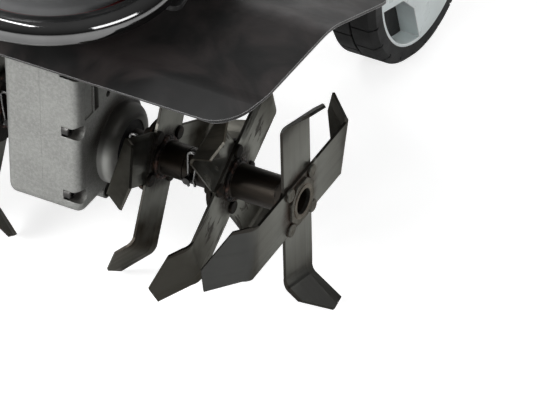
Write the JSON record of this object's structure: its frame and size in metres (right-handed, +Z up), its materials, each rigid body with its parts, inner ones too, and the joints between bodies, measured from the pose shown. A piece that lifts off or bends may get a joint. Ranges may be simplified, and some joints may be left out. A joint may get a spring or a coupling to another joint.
{
  "type": "electric tiller",
  "caption": "Electric garden tiller: worm-drive gearbox with bent-blade tine stars, upright motor under a hood, sheet guard, tube bumper, rear wheels and folding handle.",
  "frame": {"origin": "middle of the bounding box at floor level", "axes": "+X along the tine shaft, -Y to the machine's front, +Y to the operator, +Z up"},
  "size_m": [0.459, 0.9062, 0.9862],
  "materials": {
    "tine_steel": "raw mill-finish steel, heat tinted near the bends",
    "black_paint": "gloss black powder coat",
    "cast_grey": "rough die casting",
    "steel": "plated steel",
    "shaft_steel": "machined steel",
    "bronze": "bronze",
    "copper": "copper",
    "iron": "laminated iron",
    "carbon": "pressed carbon",
    "seal_rubber": "rubber",
    "hood_grey": "dark grey moulded plastic",
    "hood_red": "dark red moulded plastic",
    "tyre_black": "black moulded tyre",
    "rim_grey": "pale grey moulded plastic",
    "grip_foam": "soft grip",
    "box_black": "textured black plastic",
    "fan_plastic": "moulded plastic",
    "button_red": "red plastic",
    "knob_black": "moulded black plastic"
  },
  "bodies": {
    "chassis": {"gearbox_case_right": "cast_grey", "gearbox_case_left": "cast_grey", "cap_screws": "steel", "ball_bearings": "steel", "shaft_seals": "seal_rubber", "motor_can": "steel", "field_stator": "iron", "motor_end_plate": "cast_grey", "carbon_brushes": "carbon", "motor_mount": "black_paint", "hood_skirt": "hood_red", "hood_shell": "hood_grey", "hood_cap": "hood_grey", "hood_screws": "steel", "tine_guard": "black_paint", "bumper_tube": "black_paint", "side_plate_right": "black_paint", "side_plate_left": "black_paint", "frame_bolts": "steel", "lower_handle_tubes": "black_paint", "handle_cross_bar": "black_paint", "fold_bolts": "steel"},
    "tine_rotor": {"output_shaft": "shaft_steel", "worm_wheel": "bronze", "inner_tine_hubs": "black_paint", "outer_tine_hubs": "black_paint", "clevis_pins": "steel", "hairpin_clips": "steel", "tine_rivets": "steel", "inner_tines_right": "tine_steel", "inner_tines_left": "tine_steel", "middle_tines_right": "tine_steel", "middle_tines_left": "tine_steel", "outer_tines_right": "tine_steel", "outer_tines_left": "tine_steel"},
    "motor_rotor": {"worm_shaft": "shaft_steel", "armature_core": "iron", "armature_copper": "copper", "cooling_fan": "fan_plastic"},
    "wheel_carriage": {"wheel_carriage": "black_paint", "carriage_bolts": "steel", "wheel_axle": "steel", "axle_caps": "steel"},
    "wheel_right": {"tyre_right": "tyre_black", "rim_right": "rim_grey"},
    "wheel_left": {"tyre_left": "tyre_black", "rim_left": "rim_grey"},
    "carriage_knob": {"carriage_knob": "knob_black"},
    "upper_handle": {"upper_handle": "black_paint", "handle_grips": "grip_foam", "switch_box_top": "box_black", "switch_box_bottom": "box_black", "switch_box_screws": "steel", "switch_block": "fan_plastic", "power_inlet": "box_black", "cord_hook": "knob_black"},
    "fold_knob_right": {"fold_knob_right": "knob_black"},
    "fold_knob_left": {"fold_knob_left": "knob_black"},
    "bail_lever": {"bail_lever": "steel"},
    "lockout_button": {"lockout_button": "button_red"}
  },
  "joints": [
    {"name": "tine_spin", "type": "hinge", "parent": "chassis", "child": "tine_rotor", "pos_m": [0, -0.31808, 0.10488], "axis": [1, 0, 0], "continuous": true},
    {"name": "motor_spin", "type": "hinge", "parent": "chassis", "child": "motor_rotor", "pos_m": [0, -0.35008, 0.10488], "axis": [0, 0, 1], "continuous": true},
    {"name": "carriage_swing", "type": "hinge", "parent": "chassis", "child": "wheel_carriage", "pos_m": [0, -0.07808, 0.19688], "axis": [1, 0, 0], "range_deg": [0, 60]},
    {"name": "wheel_right_spin", "type": "hinge", "parent": "wheel_carriage", "child": "wheel_right", "pos_m": [0, 0.04092, 0.098], "axis": [1, 0, 0], "continuous": true},
    {"name": "wheel_left_spin", "type": "hinge", "parent": "wheel_carriage", "child": "wheel_left", "pos_m": [0, 0.04092, 0.098], "axis": [1, 0, 0], "continuous": true},
    {"name": "carriage_knob_turn", "type": "hinge", "parent": "wheel_carriage", "child": "carriage_knob", "pos_m": [0.0584, -0.05462, 0.17738], "axis": [1, 0, 0], "continuous": true},
    {"name": "handle_fold", "type": "hinge", "parent": "chassis", "child": "upper_handle", "pos_m": [0, 0.01433, 0.53699], "axis": [1, 0, 0], "range_deg": [0, 140]},
    {"name": "fold_knob_right_turn", "type": "hinge", "parent": "chassis", "child": "fold_knob_right", "pos_m": [0, 0.01433, 0.53699], "axis": [1, 0, 0], "continuous": true},
    {"name": "fold_knob_left_turn", "type": "hinge", "parent": "chassis", "child": "fold_knob_left", "pos_m": [0, 0.01433, 0.53699], "axis": [1, 0, 0], "continuous": true},
    {"name": "bail_squeeze", "type": "hinge", "parent": "upper_handle", "child": "bail_lever", "pos_m": [0, 0.38205, 0.94704], "axis": [1, 0, 0], "range_deg": [0, 45], "stiffness_Nm_per_rad": 0.8, "springref_deg": -28.65},
    {"name": "lockout_press", "type": "slide", "parent": "upper_handle", "child": "lockout_button", "axis": [0, 0.2588, -0.9659], "range_m": [0, 0.005], "stiffness_N_per_m": 600, "springref_m": -0.003}
  ],
  "couplings": [
    {"joint": "motor_spin", "follows": "tine_spin", "ratio": 24}
  ]
}
